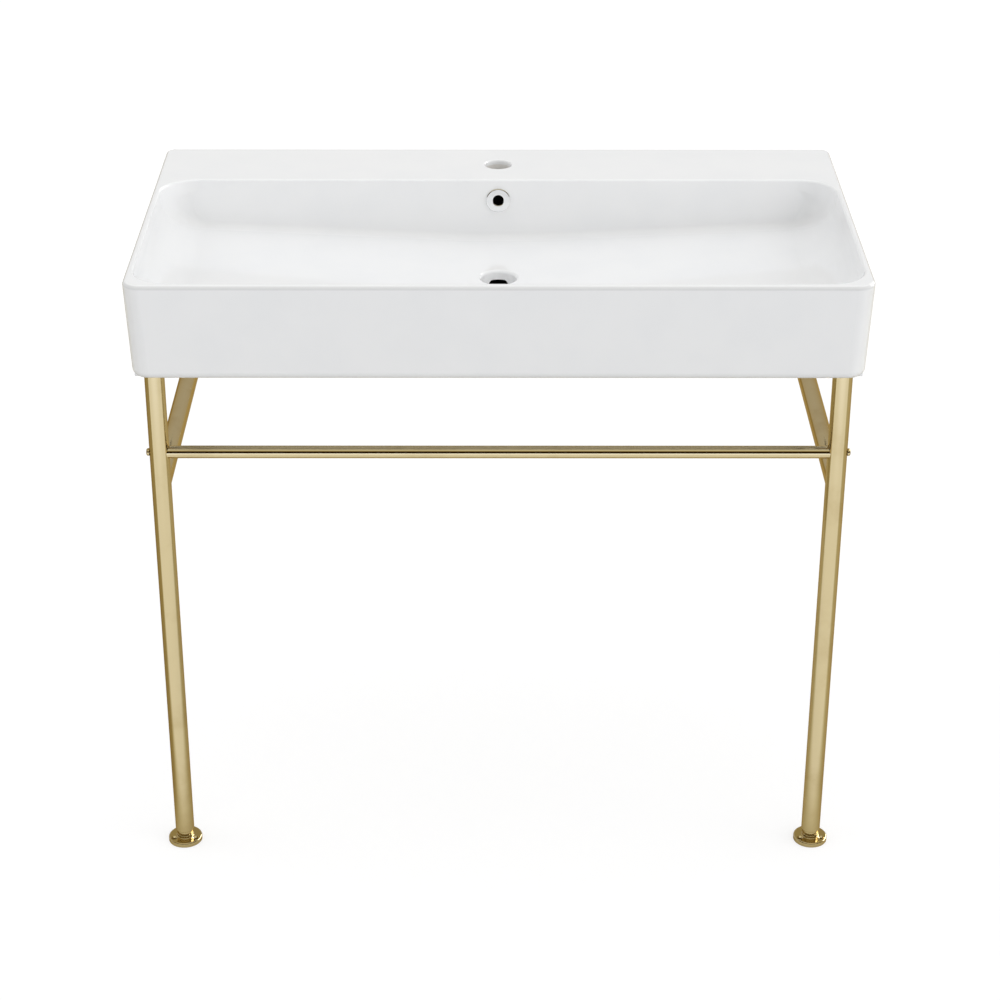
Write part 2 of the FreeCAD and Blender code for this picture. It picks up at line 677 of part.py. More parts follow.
def leg_top(side, way):
    """The cap that closes a leg, and the rubber pad between the cap and the basin's seat."""
    plug_r = tube_bore_r - cell("press_gap")
    bevel = cell("plug_bevel")
    head = cell("cap_head")
    plug = -cell("cap_plug")
    cap = turned_body(f"leg_cap_{side}", (
        (0, plug), (plug_r - bevel, plug), (plug_r, plug + bevel), (plug_r, 0),
        (tube_r, 0), (tube_r, head), (0, head)))
    place(cap, leg_x * way, leg_y, leg_top_z)
    keep(cap, f"leg_cap_{side}")
    pad_r = cell("pad_d") / 2
    thick = cell("pad_thickness")
    pad = turned_body(f"leg_pad_{side}", ((0, 0), (pad_r, 0), (pad_r, thick), (0, thick)))
    place(pad, leg_x * way, leg_y, leg_top_z + head)
    keep(pad, f"leg_pad_{side}")


def cope(body, name, centre, depth):
    """Hollows the end of a tube so that it fits round a leg."""
    drill(body, name, "XY_Plane", 0, cell("tube_d"), (centre,), depth, symmetric=True)


def towel_bar():
    """The bar between the legs: a tube whose ends are coped to the legs."""
    body = tube("towel_bar", "YZ_Plane", -leg_x, leg_x * 2, cell("bar_d"), cell("tube_wall"))
    for side, way in SIDES:
        cope(body, f"towel_bar_cope_{side}", (leg_x * way, 0), cell("bar_d") * 2)
    place(body, 0, leg_y, bar_z)
    keep(body, "towel_bar")


def bar_fixings(side, way):
    """The threaded plug in one end of the towel bar, and the screw that comes through the leg."""
    outward = Rotation(Vector(0, 1, 0), 90 * way)
    screw_r = cell("bar_screw_d") / 2
    bore_r = screw_r + cell("screw_gap")
    plug_r = cell("bar_d") / 2 - cell("tube_wall") - cell("press_gap")
    length = cell("bar_insert_length")
    plug = turned_body(f"bar_insert_{side}", (
        (bore_r, 0), (plug_r, 0), (plug_r, -length), (bore_r, -length)))
    place(plug, (leg_x - tube_r - cell("bar_insert_gap")) * way, leg_y, bar_z, outward)
    keep(plug, f"bar_insert_{side}")
    head_r = cell("bar_screw_head_d") / 2
    head = cell("bar_screw_head_height")
    shank = -cell("bar_screw_length")
    screw = turned_body(f"bar_screw_{side}", (
        (0, shank), (screw_r, shank), (screw_r, 0), (head_r, 0), (head_r, head), (0, head)))
    round_edges(
        screw, f"bar_screw_{side}_dome", cell("bar_screw_dome"),
        lambda edge: is_ring_at(edge, head_r, head))
    arm = cell("recess_arm")
    half = cell("recess_width") / 2
    recess = new_sketch(screw, f"bar_screw_{side}_recess", "XY_Plane", head)
    draw_outline(recess, (
        (half, half), (half, arm), (-half, arm), (-half, half), (-arm, half), (-arm, -half),
        (-half, -half), (-half, -arm), (half, -arm), (half, -half), (arm, -half), (arm, half)))
    sweep_sketch(screw, "Pocket", recess, cell("recess_depth"))
    place(screw, (leg_x + tube_r) * way, leg_y, bar_z, outward)
    keep(screw, f"bar_screw_{side}")


def side_rail(side, way):
    """A rail from a leg to the wall, coped to the leg, with the hole of its set screw."""
    start = leg_y + cell("rail_ear_gap")
    length = rail_end_y - start
    body = tube(
        f"side_rail_{side}", "XZ_Plane", -(rail_end_y - leg_y), length,
        cell("tube_d"), cell("tube_wall"))
    cope(body, f"side_rail_{side}_cope", (0, 0), cell("tube_d") * 2)
    screw_y = rail_end_y - leg_y - cell("spigot_length") / 2
    drill(
        body, f"side_rail_{side}_screw_hole", "XY_Plane", 0,
        cell("set_screw_d") + cell("screw_gap") * 2,
        ((0, screw_y),), cell("tube_d"))
    place(body, leg_x * way, leg_y, rail_z)
    keep(body, f"side_rail_{side}")


# ---- flanges and levelling feet --------------------------------------------------------------

SCREW_ANGLES = (-150, -30, 90)


def flange_screw_holes(body, label):
    """Three countersunk screw holes through a flange's disc, one of them at the back or top."""
    circle_r = cell("screw_circle_d") / 2
    thick = cell("flange_thickness")
    centres = []
    for angle in SCREW_ANGLES:
        across = circle_r * math.cos(math.radians(angle))
        along = circle_r * math.sin(math.radians(angle))
        centres.append((across, along))
    drill(body, label + "_screw_holes", "XY_Plane", thick, cell("screw_hole_d"), centres, thick)
    hole_r = cell("screw_hole_d") / 2
    sink = (cell("screw_sink_d") - cell("screw_hole_d")) / 2
    round_edges(
        body, label + "_countersinks", sink, lambda edge: is_ring_at(edge, hole_r, thick), "Chamfer")


def floor_flange(side, way):
    """The disc that a leg stands on, with a hub for the collar and a recess for the stud's head."""
    label = f"foot_flange_{side}"
    disc_r = cell("flange_d") / 2
    hub_r = cell("flange_hub_d") / 2
    bore_r = cell("stud_d") / 2 + cell("running_gap")
    thick = cell("flange_thickness")
    recess_r = cell("stud_head_d") / 2 + cell("head_gap")
    recess_z = hub_top_z - cell("flange_grip")
    body = turned_body(label, (
        (recess_r, 0), (disc_r, 0), (disc_r, thick), (hub_r, thick), (hub_r, hub_top_z),
        (bore_r, hub_top_z), (bore_r, recess_z), (recess_r, recess_z)))
    round_edges(
        body, label + "_edge", cell("flange_edge"), lambda edge: is_ring_at(edge, disc_r, thick))
    round_edges(
        body, label + "_hub_edge", cell("hub_edge"),
        lambda edge: is_ring_at(edge, hub_r, hub_top_z))
    round_edges(
        body, label + "_hub_root", cell("hub_root"), lambda edge: is_ring_at(edge, hub_r, thick))
    flange_screw_holes(body, label)
    place(body, leg_x * way, leg_y, 0)
    keep(body, label)


def levelling_stud(side, way):
    """The threaded stud that lifts a leg, the collar that turns it, and the insert it runs in."""
    stud_r = cell("stud_d") / 2
    head_r = cell("stud_head_d") / 2
    head = cell("stud_head_height")
    head_top_z = hub_top_z - cell("flange_grip") - cell("thrust_gap")
    stud_foot_z = head_top_z - head
    stud_top = collar_top_z + cell("stud_rise") - stud_foot_z
    point = cell("plug_bevel")
    stud = turned_body(f"foot_stud_{side}", (
        (0, 0), (head_r, 0), (head_r, head), (stud_r, head),
        (stud_r, stud_top - point), (stud_r - point, stud_top), (0, stud_top)))
    place(stud, leg_x * way, leg_y, stud_foot_z)
    keep(stud, f"foot_stud_{side}")
    collar_r = cell("collar_d") / 2
    tall = cell("collar_height")
    bevel = cell("collar_bevel")
    bore_r = stud_r + cell("press_gap")
    collar = turned_body(f"foot_collar_{side}", (
        (bore_r, 0), (collar_r - bevel, 0), (collar_r, bevel),
        (collar_r, tall - bevel), (collar_r - bevel, tall), (bore_r, tall)))
    place(collar, leg_x * way, leg_y, collar_foot_z)
    keep(collar, f"foot_collar_{side}")
    plug_r = tube_bore_r - cell("press_gap")
    insert_bore_r = stud_r + cell("running_gap")
    length = cell("insert_length")
    insert = turned_body(f"foot_insert_{side}", (
        (insert_bore_r, 0), (plug_r, 0), (plug_r, length), (insert_bore_r, length)))
    place(insert, leg_x * way, leg_y, leg_foot_z + cell("insert_setback"))
    keep(insert, f"foot_insert_{side}")


def wall_flange(side, way):
    """The disc that a side rail meets at the wall, with its spigot and the spigot's set screw."""
    label = f"wall_flange_{side}"
    disc_r = cell("flange_d") / 2
    spigot_r = tube_bore_r - cell("spigot_gap")
    hollow_r = spigot_r - cell("spigot_wall")
    thick = cell("flange_thickness")
    end = thick + cell("spigot_length")
    body = turned_body(label, (
        (0, 0), (disc_r, 0), (disc_r, thick), (spigot_r, thick),
        (spigot_r, end), (hollow_r, end), (hollow_r, thick), (0, thick)))
    round_edges(
        body, label + "_edge", cell("flange_edge"), lambda edge: is_ring_at(edge, disc_r, thick))
    flange_screw_holes(body, label)
    screw_bore = cell("set_screw_d") + cell("screw_gap") * 2
    screw_height = thick + cell("spigot_length") / 2
    drill(
        body, label + "_screw_bore", "XZ_Plane", 0, screw_bore,
        ((0, screw_height),), cell("tube_d"), reverse=True)
    place(body, leg_x * way, half_depth, rail_z, Rotation(Vector(1, 0, 0), 90))
    keep(body, label)
    screw_r = cell("set_screw_d") / 2
    length = cell("set_screw_length")
    screw = turned_body(
        f"rail_set_screw_{side}", ((0, 0), (screw_r, 0), (screw_r, length), (0, length)))
    socket = new_sketch(screw, f"rail_set_screw_{side}_socket", "XY_Plane")
    corners = []
    for step in range(6):
        corner_x = cell("hex_corner") * math.cos(math.radians(60 * step))
        corner_y = cell("hex_corner") * math.sin(math.radians(60 * step))
        corners.append((corner_x, corner_y))
    draw_outline(socket, corners)
    sweep_sketch(screw, "Pocket", socket, length / 2, reverse=True)
    screw_y = rail_end_y - cell("spigot_length") / 2
    place(screw, leg_x * way, screw_y, rail_z - tube_r + cell("set_screw_sink"))
    keep(screw, f"rail_set_screw_{side}")


# ---- the whole object ------------------------------------------------------------------------

basin()
overflow_trim()
for side, way in SIDES:
    leg(side, way)
    leg_top(side, way)
    levelling_stud(side, way)
    floor_flange(side, way)
    side_rail(side, way)
    wall_flange(side, way)
towel_bar()
for side, way in SIDES:
    bar_fixings(side, way)
document.recompute()

for item in document.Objects:
    failed = "Invalid" in item.State or "Error" in item.State
    if failed:
        raise RuntimeError(f"{item.Name} fails: {item.State}")
for item in finished:
    if item.Shape.isNull() or not item.Shape.isValid() or not item.Shape.Solids:
        raise RuntimeError(f"{item.Label} has no valid solid")

os.makedirs("parts", exist_ok=True)
for item in finished:
    item.Shape.exportStep(f"parts/{item.Label}.step")
    print(f"{item.Label}: {len(item.Shape.Solids)} solid, {item.Shape.Volume / 1000:.1f} cm3")
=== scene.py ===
import math
import bmesh
import bpy
from mathutils import Matrix, Vector


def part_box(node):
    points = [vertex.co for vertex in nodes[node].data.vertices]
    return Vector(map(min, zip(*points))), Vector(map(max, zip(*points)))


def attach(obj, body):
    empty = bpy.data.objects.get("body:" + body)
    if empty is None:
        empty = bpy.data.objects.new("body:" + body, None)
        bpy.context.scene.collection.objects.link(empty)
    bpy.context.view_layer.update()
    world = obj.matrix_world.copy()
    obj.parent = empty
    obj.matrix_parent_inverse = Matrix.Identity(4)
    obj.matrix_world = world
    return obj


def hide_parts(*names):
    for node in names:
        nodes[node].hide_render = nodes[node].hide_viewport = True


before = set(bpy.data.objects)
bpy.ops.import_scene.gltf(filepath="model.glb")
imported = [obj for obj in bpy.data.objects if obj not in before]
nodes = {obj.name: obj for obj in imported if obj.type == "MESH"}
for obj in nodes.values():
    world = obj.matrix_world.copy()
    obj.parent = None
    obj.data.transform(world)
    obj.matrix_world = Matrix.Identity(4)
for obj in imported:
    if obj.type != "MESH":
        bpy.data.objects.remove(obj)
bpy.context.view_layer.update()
scene = bpy.context.scene

# ---- camera --------------------------------------------------------------------------------------
# The photograph's view: from in front, a little above the basin, looking down at it.
# The focal length is in pixels of a picture 1000 wide, the place in metres.

FOCAL_PIXELS = 2481.35
PICTURE_PIXELS = 1000
SENSOR_WIDTH = 36.0
CAMERA_PITCH = math.radians(27.39)
CAMERA_YAW = math.radians(0.23)
CAMERA_ROLL = math.radians(0.12)
CAMERA_PLACE = Vector((-0.0093, -2.9738, 1.9691))

camera = bpy.data.objects.new("camera", bpy.data.cameras.new("camera"))
camera.data.sensor_width = SENSOR_WIDTH
camera.data.lens = FOCAL_PIXELS / PICTURE_PIXELS * SENSOR_WIDTH
camera.matrix_world = (
    Matrix.Translation(CAMERA_PLACE)
    @ Matrix.Rotation(-CAMERA_YAW, 4, "Z")
    @ Matrix.Rotation(math.pi / 2 - CAMERA_PITCH, 4, "X")
    @ Matrix.Rotation(CAMERA_ROLL, 4, "Z")
)
scene.collection.objects.link(camera)
scene.camera = camera
scene.view_settings.view_transform = "Standard"

# ---- studio floor --------------------------------------------------------------------------------
# A seamless pale floor that takes a soft shadow and glows just enough to look white. Polished
# metal sees it bright in front of the sink and dimmer beneath and behind it.

FLOOR_REACH = 12.0
FLOOR_PAINT = 0.60

# To the camera it is a paint that takes the shadow, and a glow that lifts the rest to white.
CAMERA_PAINT, CAMERA_GLOW = 0.35, 0.66

# In polished metal it shows painted light and shade: bright in front of the sink, and brighter far
# ahead of it. Behind the legs it is painted dimmer, and dimmest at the left. That part starts
# further forward outside the legs.
FRONT_FLOOR_LEVEL, FAR_FLOOR_LEVEL = 0.88, 1.15
FAR_FLOOR_FROM, FAR_FLOOR_FULL = -1.0, -2.4
REAR_RIGHT_LEVEL, REAR_LEFT_LEVEL = 0.52, 0.36
REAR_FLOOR_FROM, REAR_FLOOR_FULL = -0.37, -0.11
LEFT_FLOOR_FROM, LEFT_FLOOR_FULL = -0.40, -0.60
OUTSIDE_FROM, OUTSIDE_SLOPE = 0.43, 0.32


def colour_of(red, green, blue):
    """A colour as a socket takes it."""
    return (red, green, blue, 1.0)


def grey(level):
    """A neutral colour."""
    return colour_of(level, level, level)


WHITE = grey(1.0)


def new_material(name):
    """A material with an empty node tree, and that tree."""
    material = bpy.data.materials.new(name)
    material.use_nodes = True
    tree = material.node_tree
    tree.nodes.clear()
    return material, tree


def add_node(tree, kind, **settings):
    """A node of the given kind, with its sockets and properties set by name."""
    node = tree.nodes.new(kind)
    for name, value in settings.items():
        socket = node.inputs.get(name.replace("_", " "))
        if socket is not None:
            socket.default_value = value
        else:
            setattr(node, name, value)
    return node


def join(tree, *pairs):
    """Links each pair of sockets, given as (output, input)."""
    for output, entry in pairs:
        tree.links.new(output, entry)


def feed(tree, entry, value):
    """Sets a socket to a plain value, or links it to another node's output."""
    if isinstance(value, bpy.types.NodeSocket):
        join(tree, (value, entry))
    else:
        entry.default_value = value


def read_place(tree, kind="Object"):
    """Where a point is, or which way a ray of the room goes, whole and split in three."""
    place = add_node(tree, "ShaderNodeTexCoord")
    parts = add_node(tree, "ShaderNodeSeparateXYZ")
    join(tree, (place.outputs[kind], parts.inputs[0]))
    return place.outputs[kind], parts.outputs["X"], parts.outputs["Y"], parts.outputs["Z"]


def smooth_step(tree, value, low, high):
    """A mask that goes smoothly from 0 at the level low to 1 at the level high, either way up."""
    step = add_node(tree, "ShaderNodeMapRange", interpolation_type="SMOOTHSTEP")
    step.inputs["From Min"].default_value = low
    step.inputs["From Max"].default_value = high
    join(tree, (value, step.inputs["Value"]))
    return step.outputs["Result"]


def calculate(tree, operation, *values):
    """A Math node: each value is a number or another node's output."""
    step = add_node(tree, "ShaderNodeMath", operation=operation)
    for entry, value in zip(step.inputs, values):
        feed(tree, entry, value)
    return step.outputs[0]


def excess(tree, first, second):
    """How far the first value is above the second, or 0 where it is below."""
    return calculate(tree, "MAXIMUM", calculate(tree, "SUBTRACT", first, second), 0.0)


# A Mix node has all its kinds' sockets under the same names, so they are picked by number: the
# inputs for the share and the two ends, and the output.
MIX_SOCKETS = {"FLOAT": ((0, 2, 3), 0), "RGBA": ((0, 6, 7), 2)}


def blend(tree, kind, *values):
    """A Mix node of one kind of data, from its share and its two ends."""
    inputs, output = MIX_SOCKETS[kind]
    node = add_node(tree, "ShaderNodeMix", data_type=kind)
    for socket, value in zip(inputs, values):
        feed(tree, node.inputs[socket], value)
    return node.outputs[output]


def blend_numbers(tree, share, first, second):
    """The number first where share is 0, second where it is 1."""
    return blend(tree, "FLOAT", share, first, second)


def new_group(name, inputs, outputs):
    """A node group with named inputs and outputs, and the nodes at its two ends."""
    group = bpy.data.node_groups.new(name, "ShaderNodeTree")
    for label, kind in inputs:
        group.interface.new_socket(label, in_out="INPUT", socket_type=kind)
    for label, kind in outputs:
        group.interface.new_socket(label, in_out="OUTPUT", socket_type=kind)
    entry = add_node(group, "NodeGroupInput")
    result = add_node(group, "NodeGroupOutput")
    return group, entry, result


def use_group(tree, group, **values):
    """The group placed in a tree, with each input set or linked by name."""
    node = add_node(tree, "ShaderNodeGroup", node_tree=group)
    for name, value in values.items():
        feed(tree, node.inputs[name], value)
    return node


def choose_by_ray(tree, output_kind, plain, mirrored, seen):
    """Ends a studio material: seen by the camera, mirrored by gloss, and plain to all else."""
    path = add_node(tree, "ShaderNodeLightPath")
    by_gloss = add_node(tree, "ShaderNodeMixShader")
    by_camera = add_node(tree, "ShaderNodeMixShader")
    output = add_node(tree, output_kind)
    join(tree,
         (path.outputs["Is Glossy Ray"], by_gloss.inputs[0]),
         (plain.outputs[0], by_gloss.inputs[1]),
         (mirrored.outputs[0], by_gloss.inputs[2]),
         (path.outputs["Is Camera Ray"], by_camera.inputs[0]),
         (by_gloss.outputs[0], by_camera.inputs[1]),
         (seen.outputs[0], by_camera.inputs[2]),
         (by_camera.outputs[0], output.inputs["Surface"]))


def new_object(name, work, material):
    """Finishes a bmesh as an object at the origin, with one material."""
    data = bpy.data.meshes.new(name)
    work.to_mesh(data)
    work.free()
    data.materials.append(material)
    made = bpy.data.objects.new(name, data)
    scene.collection.objects.link(made)
    return made


# The room's shade is warm: the dimmer a place is, the less green and the less blue it has.
SHADE_GREEN, SHADE_BLUE = 1.20, 1.90

warm_shade, entry, result = new_group(
    "warm_shade", (("Level", "NodeSocketFloat"),), (("Colour", "NodeSocketColor"),))
mix = add_node(warm_shade, "ShaderNodeCombineColor")
join(warm_shade,
     (entry.outputs["Level"], mix.inputs["Red"]),
     (calculate(warm_shade, "POWER", entry.outputs["Level"], SHADE_GREEN), mix.inputs["Green"]),
     (calculate(warm_shade, "POWER", entry.outputs["Level"], SHADE_BLUE), mix.inputs["Blue"]),
     (mix.outputs["Color"], result.inputs["Colour"]))

floor_paint, tree = new_material("floor_paint")
x, y = read_place(tree)[1:3]
leftward = smooth_step(tree, x, LEFT_FLOOR_FROM, LEFT_FLOOR_FULL)
rear_level = blend_numbers(tree, leftward, REAR_RIGHT_LEVEL, REAR_LEFT_LEVEL)
outside = excess(tree, calculate(tree, "ABSOLUTE", x), OUTSIDE_FROM)
rearward = smooth_step(
    tree, calculate(tree, "MULTIPLY_ADD", outside, OUTSIDE_SLOPE, y),
    REAR_FLOOR_FROM, REAR_FLOOR_FULL)
far_ahead = smooth_step(tree, y, FAR_FLOOR_FROM, FAR_FLOOR_FULL)
front_level = blend_numbers(tree, far_ahead, FRONT_FLOOR_LEVEL, FAR_FLOOR_LEVEL)
warmth = use_group(
    tree, warm_shade, Level=blend_numbers(tree, rearward, front_level, rear_level))
plain = add_node(tree, "ShaderNodeBsdfDiffuse", Color=grey(FLOOR_PAINT))
mirrored = add_node(tree, "ShaderNodeBsdfDiffuse")
paint_seen = add_node(tree, "ShaderNodeBsdfDiffuse", Color=grey(CAMERA_PAINT))
glow_seen = add_node(tree, "ShaderNodeEmission", Color=WHITE, Strength=CAMERA_GLOW)
seen = add_node(tree, "ShaderNodeAddShader")
join(tree,
     (warmth.outputs["Colour"], mirrored.inputs["Color"]),
     (paint_seen.outputs[0], seen.inputs[0]),
     (glow_seen.outputs[0], seen.inputs[1]))
choose_by_ray(tree, "ShaderNodeOutputMaterial", plain, mirrored, seen)

work = bmesh.new()
bmesh.ops.create_grid(work, x_segments=1, y_segments=1, size=FLOOR_REACH)
floor = new_object("floor", work, floor_paint)

# ---- studio room ---------------------------------------------------------------------------------
# A white room with soft panels overhead, in front and at both sides, and a dark screen low at the
# left. Polished surfaces see it dark ahead, bright high in front and half lit behind.

ROOM_LIGHT = 0.74
SOFT_PANELS = (
    # direction, cosine at its edge, cosine where it is full, what it adds to the room's light
    # The last one takes light away: it is the dark screen.
    ((0.0, 0.0, 1.0), 0.80, 0.92, 0.48),
    ((0.0, -0.93, 0.37), 0.80, 0.95, 0.42),
    ((0.75, -0.54, 0.37), 0.80, 0.95, 0.66),
    ((0.93, 0.05, 0.37), 0.80, 0.95, 0.95),
    ((-0.93, 0.05, 0.37), 0.80, 0.95, 1.00),
    ((-0.92, -0.39, -0.05), 0.80, 0.95, -0.60),
)
FRONT_DARK, FRONT_HIGH = 0.025, 0.78
FRONT_DARK_TOP, FRONT_HIGH_FROM = 0.40, 0.84
REAR_LEVEL = 0.38
FRONT_EDGE, REAR_EDGE = -0.45, 0.25
REAR_WALL_COLOUR = colour_of(0.54, 0.52, 0.48)
REAR_WALL_FULL, REAR_WALL_TOP = 0.46, 0.56

# A window at the right, behind the sink, which shows as bright strokes at the bowl's left end.
WINDOW_FACING = Vector((0.837, 0.547, 0.0))
WINDOW_ACROSS = Vector((-0.547, 0.837, 0.0))
WINDOW_HALF_WIDTH, WINDOW_LOW, WINDOW_HIGH = 0.42, 0.03, 0.60
PANE_WIDTH, BAR_HALF = 0.14, 0.018
WINDOW_LEVEL = 5.0
WINDOW_BLUR = 0.01

world = bpy.data.worlds.new("studio")
scene.world = world
world.use_nodes = True
tree = world.node_tree
tree.nodes.clear()
where, _, y, z = read_place(tree, "Generated")


def toward(tree, ray, direction):
    """How nearly a ray goes in a direction: 1 along it, 0 square to it."""
    product = add_node(tree, "ShaderNodeVectorMath", operation="DOT_PRODUCT")
    product.inputs[1].default_value = direction
    join(tree, (ray, product.inputs[0]))
    return product.outputs["Value"]


def blend_colours(tree, share, first, second):
    """The colour first where share is 0, second where it is 1."""
    return blend(tree, "RGBA", share, first, second)


light = ROOM_LIGHT
for direction, edge, full, gain in SOFT_PANELS:
    facing = toward(tree, where, Vector(direction).normalized())
    light = calculate(tree, "MULTIPLY_ADD", smooth_step(tree, facing, edge, full), gain, light)

# what polished surfaces see of the room's walls and ceiling
climb = smooth_step(tree, z, FRONT_DARK_TOP, FRONT_HIGH_FROM)
front_level = blend_numbers(tree, climb, FRONT_DARK, FRONT_HIGH)
rearward = smooth_step(tree, y, FRONT_EDGE, REAR_EDGE)
warmth = use_group(
    tree, warm_shade, Level=blend_numbers(tree, rearward, front_level, REAR_LEVEL))
low_down = smooth_step(tree, z, REAR_WALL_TOP, REAR_WALL_FULL)
rear_wall = calculate(tree, "MULTIPLY", rearward, low_down)
room_colour = blend_colours(tree, rear_wall, warmth.outputs["Colour"], REAR_WALL_COLOUR)

# the window's outline and its bars, each edge a little blurred
across = toward(tree, where, WINDOW_ACROSS)
window = smooth_step(tree, toward(tree, where, WINDOW_FACING), 0.0, WINDOW_BLUR)
for value, low, high in (
    (calculate(tree, "ABSOLUTE", across), WINDOW_HALF_WIDTH + WINDOW_BLUR, WINDOW_HALF_WIDTH),
    (z, WINDOW_LOW, WINDOW_LOW + WINDOW_BLUR),
    (z, WINDOW_HIGH + WINDOW_BLUR, WINDOW_HIGH),
    (calculate(tree, "PINGPONG", across, PANE_WIDTH / 2), BAR_HALF, BAR_HALF + WINDOW_BLUR),
):
    window = calculate(tree, "MULTIPLY", window, smooth_step(tree, value, low, high))

plain = add_node(tree, "ShaderNodeBackground", Color=WHITE)
room_seen = add_node(tree, "ShaderNodeBackground")
window_seen = add_node(tree, "ShaderNodeBackground", Color=WHITE)
mirrored = add_node(tree, "ShaderNodeAddShader")
seen = add_node(tree, "ShaderNodeBackground", Color=WHITE, Strength=1.0)
join(tree,
     (light, plain.inputs["Strength"]),
     (room_colour, room_seen.inputs["Color"]),
     (calculate(tree, "MULTIPLY", window, WINDOW_LEVEL), window_seen.inputs["Strength"]),
     (room_seen.outputs[0], mirrored.inputs[0]),
     (window_seen.outputs[0], mirrored.inputs[1]))
choose_by_ray(tree, "ShaderNodeOutputWorld", plain, mirrored, seen)

# ---- basin ---------------------------------------------------------------------------------------
# One casting of vitreous china, sprayed with white glaze and fired. The glaze is glossy, and a
# painted shade greys it over the outer top edge. The back, the foot and the hollow underneath are
# bare fired body, and the overflow duct is painted near black as shadow.

GLAZE_COLOUR = colour_of(0.83, 0.835, 0.84)
GLAZE_POOLED = colour_of(0.815, 0.822, 0.830)
# painted shade: the greyer colour that the outer top edge is painted
EDGE_PAINTED_SHADE = colour_of(0.685, 0.688, 0.691)
GLAZE_ROUGHNESS, GLAZE_HAZE = 0.05, 0.035
WAVE_SCALE, WAVE_DETAIL, WAVE_HEIGHT = 16.0, 2.0, 2.5e-5
PEEL_SCALE, PEEL_DETAIL, PEEL_HEIGHT = 240.0, 3.0, 1.2e-6
GLAZE_UNEVENNESS = 0.5
POOLED_FROM, POOLED_FULL = 0.35, 0.70
BODY_COLOUR = colour_of(0.70, 0.685, 0.655)
BODY_STAIN = colour_of(0.672, 0.656, 0.625)
BODY_ROUGHNESS = 0.85
BODY_GRAIN_SCALE, BODY_GRAIN_HEIGHT = 900.0, 6e-5
# painted shadow: the near black of the inside of the overflow duct, its hole and its port
DUCT_PAINTED_SHADOW = grey(0.006)

# the outer top edge: its rounded corners' centres, and how far out and how high its painted shade
# runs
CORNER_X, CORNER_Y = 0.428, -0.223
EDGE_INNER, EDGE_OUTER = 0.0186, 0.0202
EDGE_LOW_Z, EDGE_FULL_Z = 0.8340, 0.8362

# the bare faces: the back, the foot, and the hollow with its sloping ceiling under the bowl.
# Each limit lies inside the ceramic, a little way in from the face that it marks.
BACK_Y = 0.2444
FOOT_Z = 0.7163
HOLLOW_HALF_WIDTH, HOLLOW_FRONT_Y, HOLLOW_BACK_Y = 0.4375, -0.2335, 0.2375
CEILING_MIDDLE_Z, CEILING_END_RISE = 0.7535, 0.0180
DECK_FRONT_Y, DECK_CEILING_Z = 0.1285, 0.8335

# the drain hole, the overflow hole, and the duct from one to the port in the other
DRAIN_Y, DRAIN_RADIUS = -0.020, 0.0234
OVERFLOW_Z, OVERFLOW_RADIUS, OVERFLOW_LIP_Y = 0.8125, 0.0133, 0.1215
DUCT_HALF_WIDTH, DUCT_FRONT_Y, DUCT_BACK_Y = 0.0172, 0.1347, 0.1473
DUCT_FOOT_Z, DUCT_TOP_Z = 0.7352, 0.8258
PORT_HALF_WIDTH, PORT_TOP_Z = 0.0123, 0.7478

# fine grain and slow mottling, as bare ceramic, rubber and moulded plastic have them
GRAIN_DETAIL, GRAIN_UNEVENNESS = 4.0, 0.6
MOTTLE_SCALE, MOTTLE_DETAIL, MOTTLE_UNEVENNESS = 22.0, 3.0, 0.55
MOTTLE_FROM, MOTTLE_FULL = 0.35, 0.65


def add_noise(tree, where, scale, detail, unevenness, **settings):
    """A noise pattern read at a place, from 0 to 1 and mostly near the middle."""
    noise = add_node(
        tree, "ShaderNodeTexNoise", Detail=detail, Roughness=unevenness, **settings)
    feed(tree, noise.inputs["Scale"], scale)
    join(tree, (where, noise.inputs["Vector"]))
    return noise.outputs[0]


fine_grain, entry, result = new_group(
    "fine_grain", (("Place", "NodeSocketVector"), ("Fineness", "NodeSocketFloat")),
    (("Grain", "NodeSocketFloat"), ("Mottle", "NodeSocketFloat")))
grain = add_noise(fine_grain, entry.outputs["Place"], entry.outputs["Fineness"],
                  GRAIN_DETAIL, GRAIN_UNEVENNESS)
mottle = add_noise(fine_grain, entry.outputs["Place"], MOTTLE_SCALE,
                   MOTTLE_DETAIL, MOTTLE_UNEVENNESS)
join(fine_grain,
     (grain, result.inputs["Grain"]),
     (smooth_step(fine_grain, mottle, MOTTLE_FROM, MOTTLE_FULL), result.inputs["Mottle"]))


def distance(tree, first, second):
    """How far a point is from an axis, from its two distances square to that axis."""
    pair = add_node(tree, "ShaderNodeCombineXYZ")
    length = add_node(tree, "ShaderNodeVectorMath", operation="LENGTH")
    join(tree,
         (first, pair.inputs["X"]),
         (second, pair.inputs["Y"]),
         (pair.outputs[0], length.inputs[0]))
    return length.outputs["Value"]


def between(tree, value, low, high):
    """1 where a value lies between two limits, else 0."""
    middle, reach = (low + high) / 2, (high - low) / 2
    return calculate(tree, "COMPARE", value, middle, reach)


def all_of(tree, first, *others):
    """1 where every mask is 1."""
    for other in others:
        first = calculate(tree, "MULTIPLY", first, other)
    return first


def any_of(tree, first, *others):
    """1 where at least one mask is 1."""
    for other in others:
        first = calculate(tree, "MAXIMUM", first, other)
    return first


def add_surface(tree, colour, roughness, height, depth, **settings):
    """Ends a material: a Principled surface, its relief a height from 0 to 1 times a depth."""
    relief = add_node(tree, "ShaderNodeBump", Strength=1.0, Distance=depth)
    shader = add_node(tree, "ShaderNodeBsdfPrincipled", **settings)
    output = add_node(tree, "ShaderNodeOutputMaterial")
    join(tree,
         (height, relief.inputs["Height"]),
         (relief.outputs[0], shader.inputs["Normal"]),
         (colour, shader.inputs["Base Color"]),
         (roughness, shader.inputs["Roughness"]),
         (shader.outputs[0], output.inputs["Surface"]))


def paint(node_name, material):
    """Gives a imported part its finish, in the material slot that it comes with."""
    for slot in nodes[node_name].material_slots:
        slot.material = material


